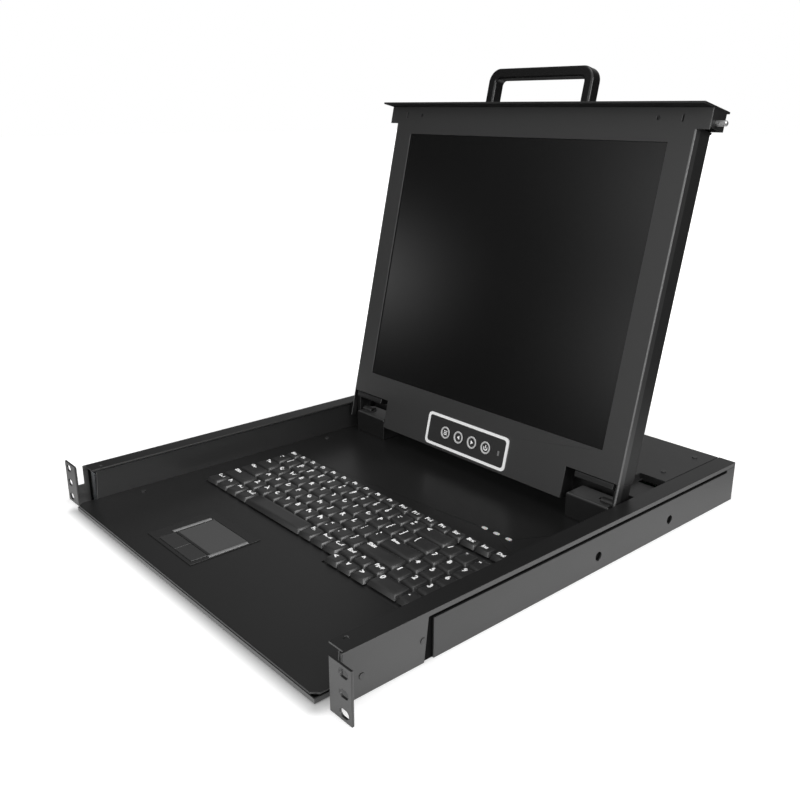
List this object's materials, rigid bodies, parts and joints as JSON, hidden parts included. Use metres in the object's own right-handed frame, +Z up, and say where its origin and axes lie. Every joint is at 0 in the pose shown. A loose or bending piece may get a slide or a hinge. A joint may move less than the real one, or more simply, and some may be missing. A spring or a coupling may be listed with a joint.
{
  "type": "rackmount lcd console drawer",
  "caption": "One-unit rack drawer on ball slides with a keyboard, touchpad and a fold-down flat screen behind a front panel with a pull handle.",
  "frame": {"origin": "under the middle of the overall box, at the height of the rails' lower edges", "axes": "+X across the rack to the user's right, +Y from the front to the rear, +Z up"},
  "size_m": [0.4826, 0.5308, 0.4319],
  "materials": {
    "case_black": "satin powder coat",
    "rail_black": "fine textured powder coat",
    "slide_steel": "zinc plated",
    "bright_steel": "turned and plated",
    "key_black": "fine matt",
    "pad_grey": "fine matt",
    "trim_black": "satin",
    "screen_gloss": "glossy",
    "module_metal": "folded sheet",
    "board_green": "solder mask",
    "frame_light": "printed light grey",
    "handle_black": "satin",
    "socket_black": "moulded",
    "lens_clear": "frosted",
    "screw_black": "blackened"
  },
  "bodies": {
    "rack_frame": {"ear_bracket_left": "rail_black", "ear_bracket_right": "rail_black", "rail_channel_left": "rail_black", "rail_channel_right": "rail_black", "side_plates": "rail_black", "rail_rivets": "screw_black", "slide_outer_members": "slide_steel"},
    "middle_member_left": {"slide_middle_left": "slide_steel"},
    "middle_member_right": {"slide_middle_right": "slide_steel"},
    "outer_cages": {"ball_cages_outer": "bright_steel"},
    "inner_cages": {"ball_cages_inner": "bright_steel"},
    "drawer": {"tray_pan": "case_black", "keyboard_deck": "case_black", "indicator_lenses": "lens_clear", "key_board": "trim_black", "touchpad_bezel": "trim_black", "touchpad": "pad_grey", "hinge_block_left": "case_black", "hinge_block_right": "case_black", "rear_cover": "case_black", "rear_panel": "case_black", "power_inlet": "socket_black", "console_port": "bright_steel", "power_board": "board_green", "video_board": "board_green", "drawer_screws": "screw_black", "slide_inner_members": "slide_steel"},
    "function_keys": {"keys_function": "key_black"},
    "number_keys": {"keys_number": "key_black"},
    "upper_keys": {"keys_upper": "key_black"},
    "home_keys": {"keys_home": "key_black"},
    "lower_keys": {"keys_lower": "key_black"},
    "bottom_keys": {"keys_bottom": "key_black"},
    "numpad_keys": {"keys_numpad": "key_black"},
    "space_key": {"space_bar": "key_black"},
    "left_touch_button": {"touch_button_left": "pad_grey"},
    "right_touch_button": {"touch_button_right": "pad_grey"},
    "rocker": {"power_rocker": "socket_black"},
    "screen": {"hinge_arm_left": "case_black", "hinge_arm_right": "case_black", "hinge_pins": "bright_steel", "screen_bezel": "case_black", "screen_back_cover": "case_black", "screen_glass": "screen_gloss", "screen_module": "module_metal", "driver_board": "board_green", "menu_panel": "trim_black", "menu_frame": "frame_light", "menu_board": "board_green", "front_panel": "case_black", "pull_handle": "handle_black", "handle_screws": "screw_black", "latch_bracket_left": "case_black", "latch_bracket_right": "case_black"},
    "menu_key_1": {"menu_button_1": "trim_black"},
    "menu_key_2": {"menu_button_2": "trim_black"},
    "menu_key_3": {"menu_button_3": "trim_black"},
    "menu_key_4": {"menu_button_4": "trim_black"},
    "bolt_left": {"latch_bolt_left": "bright_steel"},
    "bolt_right": {"latch_bolt_right": "bright_steel"}
  },
  "joints": [
    {"name": "drawer_slide", "type": "slide", "parent": "rack_frame", "child": "drawer", "axis": [0, -1, 0], "range_m": [0, 0.43]},
    {"name": "middle_left_slide", "type": "slide", "parent": "rack_frame", "child": "middle_member_left", "axis": [0, -1, 0], "range_m": [0, 0.215]},
    {"name": "middle_right_slide", "type": "slide", "parent": "rack_frame", "child": "middle_member_right", "axis": [0, -1, 0], "range_m": [0, 0.215]},
    {"name": "outer_cages_slide", "type": "slide", "parent": "rack_frame", "child": "outer_cages", "axis": [0, -1, 0], "range_m": [0, 0.1075]},
    {"name": "inner_cages_slide", "type": "slide", "parent": "rack_frame", "child": "inner_cages", "axis": [0, -1, 0], "range_m": [0, 0.3225]},
    {"name": "screen_hinge", "type": "hinge", "parent": "drawer", "child": "screen", "pos_m": [0, 0.10125, 0.0315], "axis": [1, 0, 0], "range_deg": [-17.4, 102.63]},
    {"name": "function_keys_travel", "type": "slide", "parent": "drawer", "child": "function_keys", "axis": [0, 0, -1], "range_m": [0, 0.002], "stiffness_N_per_m": 600, "springref_m": -0.001},
    {"name": "number_keys_travel", "type": "slide", "parent": "drawer", "child": "number_keys", "axis": [0, 0, -1], "range_m": [0, 0.002], "stiffness_N_per_m": 600, "springref_m": -0.001},
    {"name": "upper_keys_travel", "type": "slide", "parent": "drawer", "child": "upper_keys", "axis": [0, 0, -1], "range_m": [0, 0.002], "stiffness_N_per_m": 600, "springref_m": -0.001},
    {"name": "home_keys_travel", "type": "slide", "parent": "drawer", "child": "home_keys", "axis": [0, 0, -1], "range_m": [0, 0.002], "stiffness_N_per_m": 600, "springref_m": -0.001},
    {"name": "lower_keys_travel", "type": "slide", "parent": "drawer", "child": "lower_keys", "axis": [0, 0, -1], "range_m": [0, 0.002], "stiffness_N_per_m": 600, "springref_m": -0.001},
    {"name": "bottom_keys_travel", "type": "slide", "parent": "drawer", "child": "bottom_keys", "axis": [0, 0, -1], "range_m": [0, 0.002], "stiffness_N_per_m": 600, "springref_m": -0.001},
    {"name": "numpad_keys_travel", "type": "slide", "parent": "drawer", "child": "numpad_keys", "axis": [0, 0, -1], "range_m": [0, 0.002], "stiffness_N_per_m": 600, "springref_m": -0.001},
    {"name": "space_key_travel", "type": "slide", "parent": "drawer", "child": "space_key", "axis": [0, 0, -1], "range_m": [0, 0.002], "stiffness_N_per_m": 600, "springref_m": -0.001},
    {"name": "left_touch_button_travel", "type": "slide", "parent": "drawer", "child": "left_touch_button", "axis": [0, 0, -1], "range_m": [0, 0.0006], "stiffness_N_per_m": 500, "springref_m": -0.0005},
    {"name": "right_touch_button_travel", "type": "slide", "parent": "drawer", "child": "right_touch_button", "axis": [0, 0, -1], "range_m": [0, 0.0006], "stiffness_N_per_m": 500, "springref_m": -0.0005},
    {"name": "rocker_tilt", "type": "hinge", "parent": "drawer", "child": "rocker", "pos_m": [0.115, 0.25875, 0.019], "axis": [0, 0, 1], "range_deg": [0, 14]},
    {"name": "menu_key_1_travel", "type": "slide", "parent": "screen", "child": "menu_key_1", "axis": [0, 0.9758, -0.2187], "range_m": [0, 0.0008], "stiffness_N_per_m": 300, "springref_m": -0.0005},
    {"name": "menu_key_2_travel", "type": "slide", "parent": "screen", "child": "menu_key_2", "axis": [0, 0.9758, -0.2187], "range_m": [0, 0.0008], "stiffness_N_per_m": 300, "springref_m": -0.0005},
    {"name": "menu_key_3_travel", "type": "slide", "parent": "screen", "child": "menu_key_3", "axis": [0, 0.9758, -0.2187], "range_m": [0, 0.0008], "stiffness_N_per_m": 300, "springref_m": -0.0005},
    {"name": "menu_key_4_travel", "type": "slide", "parent": "screen", "child": "menu_key_4", "axis": [0, 0.9758, -0.2187], "range_m": [0, 0.0008], "stiffness_N_per_m": 300, "springref_m": -0.0005},
    {"name": "bolt_left_travel", "type": "slide", "parent": "screen", "child": "bolt_left", "axis": [1, 0, 0], "range_m": [0, 0.006], "stiffness_N_per_m": 400, "springref_m": -0.004},
    {"name": "bolt_right_travel", "type": "slide", "parent": "screen", "child": "bolt_right", "axis": [-1, 0, 0], "range_m": [0, 0.006], "stiffness_N_per_m": 400, "springref_m": -0.004}
  ],
  "couplings": [
    {"joint": "middle_left_slide", "follows": "drawer_slide", "ratio": 0.5},
    {"joint": "middle_right_slide", "follows": "drawer_slide", "ratio": 0.5},
    {"joint": "outer_cages_slide", "follows": "drawer_slide", "ratio": 0.25},
    {"joint": "inner_cages_slide", "follows": "drawer_slide", "ratio": 0.75}
  ]
}
